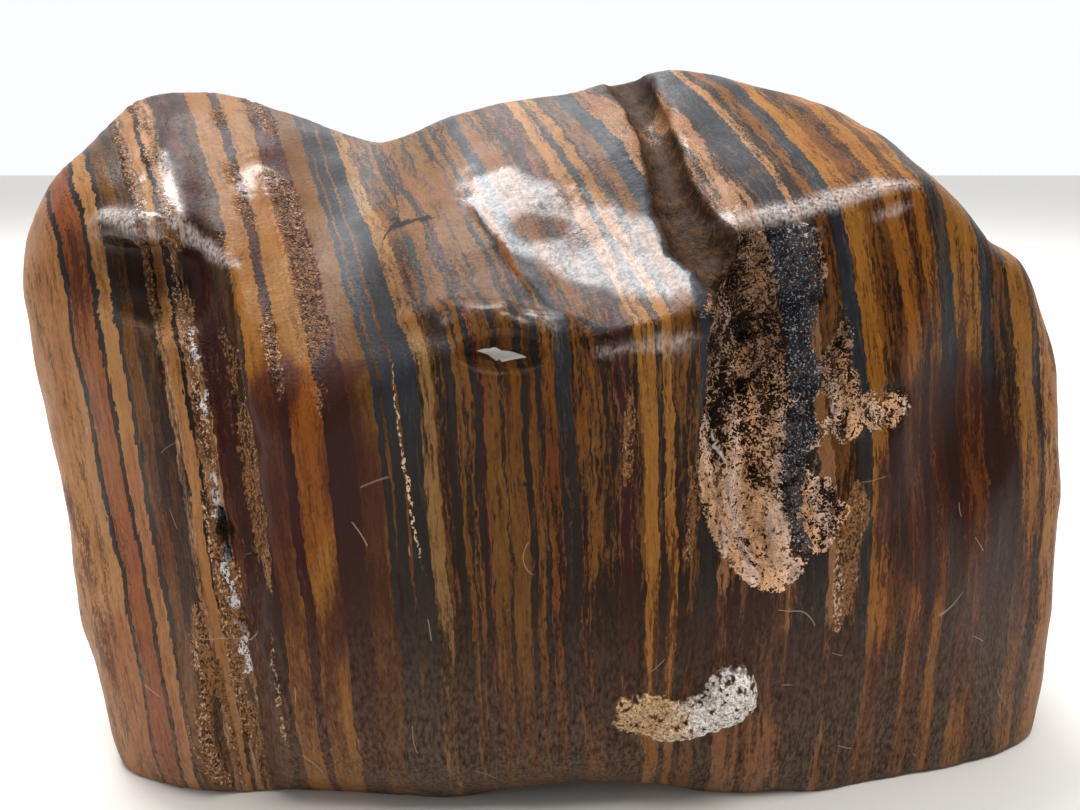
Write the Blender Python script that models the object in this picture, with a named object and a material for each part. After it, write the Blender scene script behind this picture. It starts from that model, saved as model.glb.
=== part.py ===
"""A banded iron formation specimen: one water-worn, waxed block of layered ironstone that stands on its base.

The stone is a single solid. It is grown from a box primitive: every vertex slides out along its own ray until it
meets the stone's surface, and the vertices are then evened out over that surface. stone_field() describes it: worn
facets under a rolling top, a step down to a rough hollow on the right, and the notches, grooves and lumps of a
weathered block. A Decimate modifier leaves faces only where the form needs them.

Lengths are in millimetres up to stand_on_base(), which turns them into Blender's metres. X runs along the block,
+Y is its back and +Z is up.
"""

import bmesh
import bpy
import numpy as np
from mathutils import Euler

MM = 0.001
NAME = "ironstone"

# Driving sizes of the block.
LENGTH = 150.0
DEPTH = 88.0
HEIGHT = 95.0

# Meshing.
MESH_STEP = 1.25
TRIANGLES = 9600
CORE_LOW = np.array([-42.0, -6.0, 25.0])
CORE_HIGH = np.array([42.0, 10.0, 55.0])
RAY_STEPS = 40
EVENING_ROUNDS = 6

# The crest of the top: (x, height) seen from the front, and (x, y) seen from above.
CREST_HEIGHT = [
    (-82, 58), (-73, 75), (-65, 87.5), (-52, 92), (-40, 90), (-25, 85), (-12, 89.5), (2, 91.5), (20, 95),
    (33, 92), (40.5, 89), (46, 86), (52, 80.5), (58, 74), (63.5, 70.5), (69, 63), (74, 57.5), (86, 30),
]
CREST_Y = [(-84, 5), (15, 5), (33, 0), (46, -10), (52, -14), (60, -15), (84, -15)]
ROOF_FRONT_SLOPE = 0.60
ROOF_BACK_SLOPE = 0.32
CREST_ROUNDING = 10.0

# Worn facets: a point on the facet and the way it faces.
FRONT = ((0, -42, 45), (0.00, -1.0, -0.05))
SIDES = [
    ((-58.5, -27, 45), (-0.48, -0.88, 0.12)),
    ((-72.5, -5, 60), (-1.0, -0.10, -0.12)),
    ((-60, 30, 45), (-0.75, 0.66, 0.05)),
    ((0, 44, 45), (0.0, 1.0, 0.10)),
    ((-28, 41, 68), (-0.18, 0.88, 0.44)),
    ((34, 41.5, 24), (0.16, 0.95, -0.22)),
    ((62, 32, 45), (0.75, 0.66, 0.15)),
    ((77.5, -14, 50), (0.96, -0.05, 0.27)),
    ((75.6, -14, 27.5), (1.0, 0.0, 0.09)),
    ((77.2, -27.5, 9.5), (0.72, -0.68, -0.10)),
    ((0, -37.2, 3.6), (0.0, -0.80, -0.54)),
    ((-70.6, -18.7, 3.7), (-0.80, -0.25, -0.54)),
    ((80.3, 0, 4.7), (0.80, 0.0, -0.60)),
    ((0, 40, 8), (0.0, 0.80, -0.60)),
]
RIGHT_FACES = [
    ((20, -32.7, 76.3), (0.17, -0.94, 0.28)),
    ((48, -27.8, 75), (0.47, -0.87, 0.12)),
    ((26, -41.3, 32.2), (0.20, -0.97, -0.10)),
]
STEP = ((18.2, -40, 60), (1.0, 0.12, 0.0))
FACET_ROUNDING = 2.5

# How widely the edge between roof and front is worn round, along the block.
BROW_ROUNDING = [(-80, 6), (-25, 6), (-10, 2.2), (46, 1.8), (60, 4), (80, 6)]

# The notch under the left end of the roof, as the facets of the piece that has gone.
NOTCH = [
    ((-50, -22, 70), (-0.10, 0.95, -0.20)),
    ((-50, -30, 63.5), (0.0, 0.25, -1.0)),
    ((-48, -24, 75.5), (-0.15, 0.30, 0.95)),
    ((-43, -24, 75.5), (0.60, 0.20, 0.74)),
    ((-66, -24, 70), (-1.0, 0.0, 0.0)),
    ((-36.5, -32, 68), (0.85, 0.5, 0.0)),
]

# Grooves and ridges as bars along a path: (x, y, z, radius).
GROOVE = [
    (12.5, 8, 96, 3.0), (13.3, 1, 92.5, 2.6), (14.6, -9, 88, 2.0), (15.3, -18, 83, 2.0),
    (16.2, -26, 78, 2.6), (18.2, -33, 74, 3.4), (22, -40, 71.5, 4.2),
]
GRAINY_TROUGH = [(-42, -29, 74, 4.0), (-37, -40, 52, 4.5), (-37.5, -42.3, 30, 4.5), (-39, -40.5, 4, 5.0)]
BROW = [(-14, -36, 66.0, 0.5), (-9, -37.6, 66.2, 2.4), (-4, -38.8, 66.2, 2.6), (2.5, -40.0, 65.4, 2.0), (6, -40, 64, 0.5)]
DOME_RIDGE = [(-52, -4, 85.5, 1.5), (-49, -12.5, 81.2, 2.6), (-44.5, -23.5, 74.9, 2.6)]
LOBE = [(-54, -22, 75.5, 1.6), (-48.5, -24.5, 74.6, 2.2)]

# Hollows and lumps as ellipsoids: centre, radii, turn.
EYE = ((-4.0, -43.0, 63.4), (5.0, 3.2, 2.0), (0, 0, 0))
DISH = ((-0.5, -37.5, 90.4), (60, 38, 20), (28, 15, -43))
DIMPLE = ((-1.0, -27.0, 76.8), (6.5, 4.5, 3.0), (31, 8, -30))
HOLLOW = ((29, -41, 60), (10.5, 12, 26), (0, 0, 14))
LEDGE = ((42.5, -35.5, 55.0), (5.5, 4.0, 3.4), (0, -10, 30))
SCOOP = ((57, -33, 60), (13, 10, 22), (0, 0, 30))
ARCH = ((6, -42, -3), (20, 16, 5.0), (0, 0, 0))
CHIPS = [
    ((68.5, -19, 70), (6, 8, 2.6), (0, 45, 20)),
    ((79.2, -14, 51), (2.6, 6, 5.0), (0, 12, 0)),
    ((83, -14, 24), (4.2, 8, 7.0), (0, 0, 0)),
    ((36, 2, 95.6), (8, 10, 2.6), (0, 12, 0)),
    ((-73.5, -12, 44), (2.8, 9, 10.0), (0, 0, 0)),
    ((30, 47.5, 60), (22, 4.8, 15), (0, 20, 8)),
    ((-26, 47.0, 30), (20, 4.6, 13), (0, -15, -6)),
]
QUARTZ = [
    ((12, -39.6, 17.5), (5.5, 2.0, 2.6), (0, 10, 0)), ((19, -39.8, 15.5), (5, 2.2, 2.4), (0, -20, 0)),
    ((24, -39.8, 19.5), (2.6, 2.0, 4.4), (0, 10, 0)),
]

# Gentle waves over the whole surface: (height, length) of each set.
WAVES = [(0.35, 28.0), (0.07, 9.0)]
WAVES_PER_SET = 9
SEED = 7


def smooth_max(a, b, rounding):
    """The larger of a and b, with the crease between them rounded over that width."""
    near = np.clip(0.5 + 0.5 * (a - b) / rounding, 0.0, 1.0)
    return b + (a - b) * near + rounding * near * (1.0 - near)


def smooth_min(a, b, rounding):
    return -smooth_max(-a, -b, rounding)


def facets_field(p, facets, rounding):
    """Distance to a convex block of facets whose edges are worn round; negative inside."""
    total = np.zeros(len(p))
    for point, faces in facets:
        normal = np.array(faces, float) / np.linalg.norm(faces)
        total += np.exp(np.clip((p - point) @ normal / rounding, -60, 60))
    return np.log(total) * rounding


def ellipsoid_field(p, centre, radii, turn):
    """About the distance to an ellipsoid turned by Euler angles in degrees; negative inside."""
    axes = np.array(Euler(np.radians(turn)).to_matrix())
    q = (p - centre) @ axes / np.array(radii, float)
    size = np.linalg.norm(q, axis=1) + 1e-6
    slope = np.linalg.norm(q / np.array(radii, float), axis=1) + 1e-6
    return size * (size - 1.0) / slope


def path_field(p, path):
    """Distance to a round bar along path; negative inside."""
    knots = np.array(path, float)
    nearest = np.full(len(p), 1e9)
    for a, b in zip(knots[:-1], knots[1:]):
        run = b[:3] - a[:3]
        t = np.clip((p - a[:3]) @ run / (run @ run), 0.0, 1.0)
        gap = np.linalg.norm(p - a[:3] - t[:, None] * run, axis=1)
        nearest = smooth_min(nearest, gap - (a[3] + (b[3] - a[3]) * t), 1.0)
    return nearest


def spline(x, knots):
    """A smooth curve through the knots."""
    kx = np.array([k[0] for k in knots], float)
    ky = np.array([k[1] for k in knots], float)
    slope = np.gradient(ky, kx)
    i = np.clip(np.searchsorted(kx, x) - 1, 0, len(kx) - 2)
    width = kx[i + 1] - kx[i]
    t = np.clip((x - kx[i]) / width, 0.0, 1.0)
    return (
        (2 * t**3 - 3 * t**2 + 1) * ky[i] + (t**3 - 2 * t**2 + t) * width * slope[i]
        + (3 * t**2 - 2 * t**3) * ky[i + 1] + (t**3 - t**2) * width * slope[i + 1]
    )


def ramp(t, width):
    """Zero below 0 and t above it, with a soft corner of that width."""
    return 0.5 * (t + np.sqrt(t * t + width * width)) - 0.5 * width


def roof_height(p):
    crest_y = spline(p[:, 0], CREST_Y)
    ahead = ramp(crest_y - p[:, 1], CREST_ROUNDING)
    behind = ramp(p[:, 1] - crest_y, CREST_ROUNDING)
    return spline(p[:, 0], CREST_HEIGHT) - ROOF_FRONT_SLOPE * ahead - ROOF_BACK_SLOPE * behind


def waves(p):
    """Low swells running in many directions, in millimetres."""
    rng = np.random.default_rng(SEED)
    total = np.zeros(len(p))
    for height, length in WAVES:
        for _ in range(WAVES_PER_SET):
            way = rng.normal(size=3)
            way *= 2 * np.pi / (np.linalg.norm(way) * length * rng.uniform(0.8, 1.3))
            total += height * np.sqrt(2 / WAVES_PER_SET) * np.sin(p @ way + rng.uniform(0, 2 * np.pi))
    return total


def stone_field(p):
    """Roughly the distance to the stone's surface in millimetres; negative inside."""
    sides = facets_field(p, SIDES, FACET_ROUNDING)
    proud = facets_field(p, [FRONT, STEP], 0.8)
    right = facets_field(p, [FRONT, *RIGHT_FACES], FACET_ROUNDING)
    field = smooth_max(sides, smooth_min(proud, right, 1.0), FACET_ROUNDING)
    field = smooth_max(field, (p[:, 2] - roof_height(p)) * 0.85, np.interp(p[:, 0], *zip(*BROW_ROUNDING)))
    field = smooth_max(field, -facets_field(p, NOTCH, 1.5), 1.5)
    for bar in (BROW, DOME_RIDGE, LOBE):
        field = smooth_min(field, path_field(p, bar), 2.0)
    field = smooth_max(field, -path_field(p, GROOVE), 1.0)
    field = smooth_max(field, -path_field(p, GRAINY_TROUGH), 2.0)
    for hollow, rounding in (
        (EYE, 0.6), (DISH, 0.6), (DIMPLE, 1.2), (HOLLOW, 1.2), (LEDGE, 0.8), (SCOOP, 3.0), (ARCH, 2.0)
    ):
        field = smooth_max(field, -ellipsoid_field(p, *hollow), rounding)
    for chip in CHIPS:
        field = smooth_max(field, -ellipsoid_field(p, *chip), 1.2)
    for lump in QUARTZ:
        field = smooth_min(field, ellipsoid_field(p, *lump), 1.2)
    return np.maximum(field + waves(p), -p[:, 2])


def box_mesh(step):
    """A box of the block's size with a grid on every face."""
    bm = bmesh.new()
    bmesh.ops.create_cube(bm, size=1.0)
    for axis, side in enumerate((LENGTH, DEPTH, HEIGHT)):
        along = [e for e in bm.edges if abs((e.verts[0].co - e.verts[1].co)[axis]) > 1e-6]
        bmesh.ops.subdivide_edges(bm, edges=along, cuts=int(side / step) - 1, use_grid_fill=True)
    for vert in bm.verts:
        vert.co.x *= LENGTH
        vert.co.y *= DEPTH
        vert.co.z = (vert.co.z + 0.5) * HEIGHT
    mesh = bpy.data.meshes.new(NAME)
    bm.to_mesh(mesh)
    bm.free()
    return mesh


def slide_out(points):
    """Each point's place on the stone, found along the ray from the core through it."""
    start = np.clip(points, CORE_LOW, CORE_HIGH)
    way = points - start
    way /= np.linalg.norm(way, axis=1)[:, None]
    reach = np.full(len(points), 90.0)
    for _ in range(RAY_STEPS):
        reach -= 0.9 * stone_field(start + way * reach[:, None])
    return start + way * reach[:, None]


def pull_to_surface(points):
    """Move points a little way, straight on to the stone's surface."""
    near = 0.05
    field = stone_field(points)
    slope = np.stack([stone_field(points + near * axis) - field for axis in np.eye(3)], axis=1) / near
    move = slope * (field / np.maximum((slope * slope).sum(axis=1), 0.05))[:, None]
    far = np.linalg.norm(move, axis=1)
    return points - move * np.minimum(1.0, 1.0 / np.maximum(far, 1e-6))[:, None]


def even_out(points, edges):
    """Spread the points evenly over the surface, so that steep walls get their share."""
    ends = edges.reshape(-1, 2)
    count = np.bincount(ends.ravel(), minlength=len(points))
    for _ in range(EVENING_ROUNDS):
        total = np.zeros_like(points)
        for here, there in ((0, 1), (1, 0)):
            for axis in range(3):
                total[:, axis] += np.bincount(ends[:, here], points[ends[:, there], axis], len(points))
        points = 0.5 * points + 0.5 * total / count[:, None]
        points = pull_to_surface(pull_to_surface(points))
    points[np.abs(points[:, 2]) < 0.02, 2] = 0.0
    return points


def ironstone_material():
    """Golden brown to near-black ironstone under a film of wax."""
    material = bpy.data.materials.new(NAME)
    material.use_nodes = True
    shader = material.node_tree.nodes["Principled BSDF"]
    shader.inputs["Base Color"].default_value = (0.16, 0.07, 0.025, 1.0)
    shader.inputs["Roughness"].default_value = 0.28
    shader.inputs["Metallic"].default_value = 0.0
    return material


def stand_on_base(points):
    """The points in metres, with the middle of their box over the origin."""
    low = points.min(axis=0)
    high = points.max(axis=0)
    return (points - [(low[0] + high[0]) / 2, (low[1] + high[1]) / 2, 0.0]) * MM


def build_stone(collection):
    mesh = box_mesh(MESH_STEP)
    points = np.empty(len(mesh.vertices) * 3)
    mesh.vertices.foreach_get("co", points)
    edges = np.empty(len(mesh.edges) * 2, int)
    mesh.edges.foreach_get("vertices", edges)
    points = even_out(slide_out(points.reshape(-1, 3)), edges)
    mesh.vertices.foreach_set("co", stand_on_base(points).ravel())
    mesh.update()
    mesh.shade_smooth()
    mesh.materials.append(ironstone_material())
    stone = bpy.data.objects.new(NAME, mesh)
    collection.objects.link(stone)
    stone.modifiers.new("halve_quads", "TRIANGULATE")
    thin = stone.modifiers.new("thin", "DECIMATE")
    thin.ratio = TRIANGLES / (2 * len(mesh.polygons))
    return stone


def main():
    for old in list(bpy.data.objects):
        bpy.data.objects.remove(old)
    collection = bpy.data.collections.new("banded_iron_formation")
    bpy.context.scene.collection.children.link(collection)
    build_stone(collection)


main()
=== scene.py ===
"""The banded iron formation specimen: fine surface, materials, floor, light and camera.

The stone's form is the solid's own, described in the same way and in the same millimetres, evaluated on a
finer grid. Crumbly, grainy and pitted places then get their relief, and the surface carries its layer
coordinate, so that the colours of the layers run right through the stone.
"""
import math

import bmesh
import bpy
import numpy as np
from mathutils import Euler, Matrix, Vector


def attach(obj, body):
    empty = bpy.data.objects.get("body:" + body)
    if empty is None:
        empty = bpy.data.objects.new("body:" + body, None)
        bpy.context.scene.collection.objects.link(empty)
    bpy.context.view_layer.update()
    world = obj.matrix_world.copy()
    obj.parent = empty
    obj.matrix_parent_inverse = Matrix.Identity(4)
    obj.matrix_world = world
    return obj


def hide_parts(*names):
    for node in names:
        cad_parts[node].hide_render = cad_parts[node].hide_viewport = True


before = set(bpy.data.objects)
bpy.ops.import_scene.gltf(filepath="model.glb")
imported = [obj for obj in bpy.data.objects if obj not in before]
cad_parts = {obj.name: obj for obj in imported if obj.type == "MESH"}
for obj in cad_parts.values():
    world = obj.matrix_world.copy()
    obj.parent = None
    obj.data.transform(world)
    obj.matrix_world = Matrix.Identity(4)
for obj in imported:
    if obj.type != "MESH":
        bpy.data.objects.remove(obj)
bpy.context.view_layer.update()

MM = 0.001
NODE = "ironstone"

# ---------------------------------------------------------------- form, as in the solid (millimetres)

LENGTH = 150.0
DEPTH = 88.0
HEIGHT = 95.0

COARSE_STEP = 2.3
FINE_LEVELS = 2
TRIANGLES = 196000
CORE_LOW = np.array([-42.0, -6.0, 25.0])
CORE_HIGH = np.array([42.0, 10.0, 55.0])
RAY_START, RAY_STEPS, RAY_STEP_SHARE = 90.0, 40, 0.9
SLOPE_STEP, LEAST_SLOPE = 0.05, 0.05
FLOOR_SNAP = 0.02   # points this near the floor lie on it

CREST_HEIGHT = [
    (-82, 58), (-73, 75), (-65, 87.5), (-52, 92), (-40, 90), (-25, 85), (-12, 89.5), (2, 91.5), (20, 95),
    (33, 92), (40.5, 89), (46, 86), (52, 80.5), (58, 74), (63.5, 70.5), (69, 63), (74, 57.5), (86, 30),
]
CREST_Y = [(-84, 5), (15, 5), (33, 0), (46, -10), (52, -14), (60, -15), (84, -15)]
ROOF_FRONT_SLOPE = 0.60
ROOF_BACK_SLOPE = 0.32
CREST_ROUNDING = 10.0

FRONT = ((0, -42, 45), (0.00, -1.0, -0.05))
SIDES = [
    ((-58.5, -27, 45), (-0.48, -0.88, 0.12)),
    ((-72.5, -5, 60), (-1.0, -0.10, -0.12)),
    ((-60, 30, 45), (-0.75, 0.66, 0.05)),
    ((0, 44, 45), (0.0, 1.0, 0.10)),
    ((-28, 41, 68), (-0.18, 0.88, 0.44)),
    ((34, 41.5, 24), (0.16, 0.95, -0.22)),
    ((62, 32, 45), (0.75, 0.66, 0.15)),
    ((77.5, -14, 50), (0.96, -0.05, 0.27)),
    ((75.6, -14, 27.5), (1.0, 0.0, 0.09)),
    ((77.2, -27.5, 9.5), (0.72, -0.68, -0.10)),
    ((0, -37.2, 3.6), (0.0, -0.80, -0.54)),
    ((-70.6, -18.7, 3.7), (-0.80, -0.25, -0.54)),
    ((80.3, 0, 4.7), (0.80, 0.0, -0.60)),
    ((0, 40, 8), (0.0, 0.80, -0.60)),
]
RIGHT_FACES = [
    ((20, -32.7, 76.3), (0.17, -0.94, 0.28)),
    ((48, -27.8, 75), (0.47, -0.87, 0.12)),
    ((26, -41.3, 32.2), (0.20, -0.97, -0.10)),
]
STEP = ((18.2, -40, 60), (1.0, 0.12, 0.0))
FACET_ROUNDING, PROUD_ROUNDING, STEP_ROUNDING, NOTCH_ROUNDING = 2.5, 0.8, 1.0, 1.5
ROOF_SHARE = 0.85   # turns height above the sloping roof into distance from it
BROW_ROUNDING = [(-80, 6), (-25, 6), (-10, 2.2), (46, 1.8), (60, 4), (80, 6)]

NOTCH = [
    ((-50, -22, 70), (-0.10, 0.95, -0.20)),
    ((-50, -30, 63.5), (0.0, 0.25, -1.0)),
    ((-48, -24, 75.5), (-0.15, 0.30, 0.95)),
    ((-43, -24, 75.5), (0.60, 0.20, 0.74)),
    ((-66, -24, 70), (-1.0, 0.0, 0.0)),
    ((-36.5, -32, 68), (0.85, 0.5, 0.0)),
]
NOTCH_BOX = ((-70, -50, 60), (-30, -20, 84))

GROOVE = [
    (12.5, 8, 96, 3.0), (13.3, 1, 92.5, 2.6), (14.6, -9, 88, 2.0), (15.3, -18, 83, 2.0),
    (16.2, -26, 78, 2.6), (18.2, -33, 74, 3.4), (22, -40, 71.5, 4.2),
]
GRAINY_TROUGH = [(-42, -29, 74, 4.0), (-37, -40, 52, 4.5), (-37.5, -42.3, 30, 4.5), (-39, -40.5, 4, 5.0)]
BROW = [
    (-14, -36, 66.0, 0.5), (-9, -37.6, 66.2, 2.4), (-4, -38.8, 66.2, 2.6), (2.5, -40.0, 65.4, 2.0),
    (6, -40, 64, 0.5),
]
DOME_RIDGE = [(-52, -4, 85.5, 1.5), (-49, -12.5, 81.2, 2.6), (-44.5, -23.5, 74.9, 2.6)]
LOBE = [(-54, -22, 75.5, 1.6), (-48.5, -24.5, 74.6, 2.2)]

EYE = ((-4.0, -43.0, 63.4), (5.0, 3.2, 2.0))
DISH = ((-0.5, -37.5, 90.4), (60, 38, 20), (28, 15, -43))
DISH_SCARP = ((-3.5, -28.0, 74.0), (-0.74, -0.62, 0.25))   # the dish ends at this plane
DIMPLE = ((-1.0, -27.0, 76.8), (6.5, 4.5, 3.0), (31, 8, -30))
HOLLOW = ((29, -41, 60), (10.5, 12, 26), (0, 0, 14))
LEDGE = ((42.5, -35.5, 55.0), (5.5, 4.0, 3.4), (0, -10, 30))
SCOOP = ((57, -33, 60), (13, 10, 22), (0, 0, 30))
ARCH = ((6, -42, -3), (20, 16, 5.0))
CHIPS = [
    ((68.5, -19, 70), (6, 8, 2.6), (0, 45, 20)),
    ((79.2, -14, 51), (2.6, 6, 5.0), (0, 12, 0)),
    ((83, -14, 24), (4.2, 8, 7.0)),
    ((36, 2, 95.6), (8, 10, 2.6), (0, 12, 0)),
    ((-73.5, -12, 44), (2.8, 9, 10.0)),
    ((30, 47.5, 60), (22, 4.8, 15), (0, 20, 8)),
    ((-26, 47.0, 30), (20, 4.6, 13), (0, -15, -6)),
]
QUARTZ = [
    ((12, -39.6, 17.5), (5.5, 2.0, 2.6), (0, 10, 0)), ((19, -39.8, 15.5), (5, 2.2, 2.4), (0, -20, 0)),
    ((24, -39.8, 19.5), (2.6, 2.0, 4.4), (0, 10, 0)),
]

# Bars joined on, then bars and ellipsoids cut away, then lumps joined on: each with its crease's rounding.
BARS = [(BROW, 2.0), (DOME_RIDGE, 2.0), (LOBE, 2.0)]
TROUGHS = [(GROOVE, 1.0), (GRAINY_TROUGH, 2.0)]
HOLLOWS = [(EYE, 0.6), (DIMPLE, 1.2), (HOLLOW, 1.2), (LEDGE, 0.8), (SCOOP, 3.0), (ARCH, 2.0)]
CHIP_ROUNDING = LUMP_ROUNDING = 1.2
DISH_ROUNDING, SCARP_SHARPNESS, SCARP_ROUNDING = 0.6, 0.5, 0.8
JOINT_ROUNDING = 1.0

WAVES = [(0.35, 28.0), (0.07, 9.0)]   # height and length, in millimetres
WAVE_LENGTHS = (0.8, 1.3)
WAVES_PER_SET = 9
SEED = 7
REACH = 5.0   # a cut changes the field no farther than this from its own shape


def smooth_max(a, b, rounding):
    """The larger of a and b, with the crease between them rounded over that width."""
    near = np.clip(0.5 + 0.5 * (a - b) / rounding, 0.0, 1.0)
    return b + (a - b) * near + rounding * near * (1.0 - near)


def smooth_min(a, b, rounding):
    return -smooth_max(-a, -b, rounding)


def facets_field(p, facets, rounding):
    """Distance to a convex block of facets whose edges are worn round; negative inside."""
    total = np.zeros(len(p))
    for point, faces in facets:
        normal = np.array(faces, float) / np.linalg.norm(faces)
        total += np.exp(np.clip((p - point) @ normal / rounding, -60, 60))
    return np.log(total) * rounding


def ellipsoid_field(p, centre, radii, turn=(0, 0, 0)):
    """About the distance to an ellipsoid turned by Euler angles in degrees; negative inside."""
    axes = np.array(Euler(np.radians(turn)).to_matrix())
    q = (p - centre) @ axes / np.array(radii, float)
    size = np.linalg.norm(q, axis=1) + 1e-6
    slope = np.linalg.norm(q / np.array(radii, float), axis=1) + 1e-6
    return size * (size - 1.0) / slope


def path_field(p, path):
    """Distance to a round bar along path; negative inside."""
    knots = np.array(path, float)
    nearest = np.full(len(p), 1e9)
    for a, b in zip(knots[:-1], knots[1:]):
        run = b[:3] - a[:3]
        t = np.clip((p - a[:3]) @ run / (run @ run), 0.0, 1.0)
        gap = np.linalg.norm(p - a[:3] - t[:, None] * run, axis=1)
        nearest = smooth_min(nearest, gap - (a[3] + (b[3] - a[3]) * t), JOINT_ROUNDING)
    return nearest


def spline(x, knots):
    """A smooth curve through the knots."""
    kx = np.array([k[0] for k in knots], float)
    ky = np.array([k[1] for k in knots], float)
    slope = np.gradient(ky, kx)
    i = np.clip(np.searchsorted(kx, x) - 1, 0, len(kx) - 2)
    width = kx[i + 1] - kx[i]
    t = np.clip((x - kx[i]) / width, 0.0, 1.0)
    return (
        (2 * t**3 - 3 * t**2 + 1) * ky[i] + (t**3 - 2 * t**2 + t) * width * slope[i]
        + (3 * t**2 - 2 * t**3) * ky[i + 1] + (t**3 - t**2) * width * slope[i + 1]
    )


def ramp(t, width):
    """Zero below 0 and t above it, with a soft corner of that width."""
    return 0.5 * (t + np.sqrt(t * t + width * width)) - 0.5 * width


def roof_height(p):
    crest_y = spline(p[:, 0], CREST_Y)
    ahead = ramp(crest_y - p[:, 1], CREST_ROUNDING)
    behind = ramp(p[:, 1] - crest_y, CREST_ROUNDING)
    return spline(p[:, 0], CREST_HEIGHT) - ROOF_FRONT_SLOPE * ahead - ROOF_BACK_SLOPE * behind


def waves(p):
    """Low swells running in many directions, in millimetres."""
    rng = np.random.default_rng(SEED)
    total = np.zeros(len(p))
    for height, length in WAVES:
        for _ in range(WAVES_PER_SET):
            way = rng.normal(size=3)
            way *= 2 * np.pi / (np.linalg.norm(way) * length * rng.uniform(*WAVE_LENGTHS))
            total += height * np.sqrt(2 / WAVES_PER_SET) * np.sin(p @ way + rng.uniform(0, 2 * np.pi))
    return total


def change_near(field, p, box, shape, rounding, joins=False):
    """Join (or else cut away) a shape, working out only the points near its box."""
    low, high = np.array(box[0], float) - REACH, np.array(box[1], float) + REACH
    near = np.flatnonzero(((p > low) & (p < high)).all(axis=1))
    if len(near):
        change = shape(p[near])
        if joins:
            field[near] = smooth_min(field[near], change, rounding)
        else:
            field[near] = smooth_max(field[near], -change, rounding)


def shape_box(shape, spread=None):
    """The box round a path (a list of knots) or an ellipsoid (a tuple)."""
    if isinstance(shape, list):
        reach = np.max(shape, axis=0)[3] if spread is None else spread
        return np.min(shape, axis=0)[:3] - reach, np.max(shape, axis=0)[:3] + reach
    centre, radii = shape[:2]
    return np.array(centre) - max(radii), np.array(centre) + max(radii)


def shape_field(p, shape):
    return path_field(p, shape) if isinstance(shape, list) else ellipsoid_field(p, *shape)


def change_field(field, p, shape, rounding, joins=False):
    change_near(field, p, shape_box(shape), lambda q: shape_field(q, shape), rounding, joins)


def dish_field(p):
    """The shallow dish on the roof, with a low scarp along its lower left side."""
    scarp = facets_field(p, [DISH_SCARP], SCARP_SHARPNESS)
    return smooth_max(ellipsoid_field(p, *DISH), scarp, SCARP_ROUNDING)


def stone_field(p):
    """Roughly the distance to the stone's surface in millimetres; negative inside."""
    sides = facets_field(p, SIDES, FACET_ROUNDING)
    proud = facets_field(p, [FRONT, STEP], PROUD_ROUNDING)
    right = facets_field(p, [FRONT, *RIGHT_FACES], FACET_ROUNDING)
    field = smooth_max(sides, smooth_min(proud, right, STEP_ROUNDING), FACET_ROUNDING)
    above_roof = (p[:, 2] - roof_height(p)) * ROOF_SHARE
    field = smooth_max(field, above_roof, np.interp(p[:, 0], *zip(*BROW_ROUNDING)))
    change_near(field, p, NOTCH_BOX, lambda q: facets_field(q, NOTCH, NOTCH_ROUNDING), NOTCH_ROUNDING)
    for bar, rounding in BARS:
        change_field(field, p, bar, rounding, joins=True)
    for trough, rounding in TROUGHS:
        change_field(field, p, trough, rounding)
    change_near(field, p, shape_box(DISH), dish_field, DISH_ROUNDING)
    for hollow, rounding in HOLLOWS:
        change_field(field, p, hollow, rounding)
    for chip in CHIPS:
        change_field(field, p, chip, CHIP_ROUNDING)
    for lump in QUARTZ:
        change_field(field, p, lump, LUMP_ROUNDING, joins=True)
    return np.maximum(field + waves(p), -p[:, 2])


def box_mesh(step):
    """A box of the block's size with a grid on every face."""
    bm = bmesh.new()
    bmesh.ops.create_cube(bm, size=1.0)
    for axis, side in enumerate((LENGTH, DEPTH, HEIGHT)):
        along = [e for e in bm.edges if abs((e.verts[0].co - e.verts[1].co)[axis]) > 1e-6]
        bmesh.ops.subdivide_edges(bm, edges=along, cuts=int(side / step) - 1, use_grid_fill=True)
    for vert in bm.verts:
        vert.co.x *= LENGTH
        vert.co.y *= DEPTH
        vert.co.z = (vert.co.z + 0.5) * HEIGHT
    mesh = bpy.data.meshes.new("stone_surface")
    bm.to_mesh(mesh)
    bm.free()
    return mesh


def read_points(mesh):
    points = np.empty(len(mesh.vertices) * 3)
    mesh.vertices.foreach_get("co", points)
    return points.reshape(-1, 3)


def write_points(mesh, points):
    mesh.vertices.foreach_set("co", points.ravel())
    mesh.update()


def slide_out(points):
    """Each point's place on the stone, found along the ray from the core through it."""
    start = np.clip(points, CORE_LOW, CORE_HIGH)
    way = points - start
    way /= np.linalg.norm(way, axis=1)[:, None]
    reach = np.full(len(points), RAY_START)
    for _ in range(RAY_STEPS):
        reach -= RAY_STEP_SHARE * stone_field(start + way * reach[:, None])
    return start + way * reach[:, None]


def pull_to_surface(points):
    """Move points a little way, straight on to the stone's surface."""
    field = stone_field(points)
    ahead = [stone_field(points + SLOPE_STEP * axis) - field for axis in np.eye(3)]
    slope = np.stack(ahead, axis=1) / SLOPE_STEP
    move = slope * (field / np.maximum((slope * slope).sum(axis=1), LEAST_SLOPE))[:, None]
    far = np.linalg.norm(move, axis=1)
    return points - move * np.minimum(1.0, 1.0 / np.maximum(far, 1e-6))[:, None]


def on_floor(points):
    points[np.abs(points[:, 2]) < FLOOR_SNAP, 2] = 0.0
    return points


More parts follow.
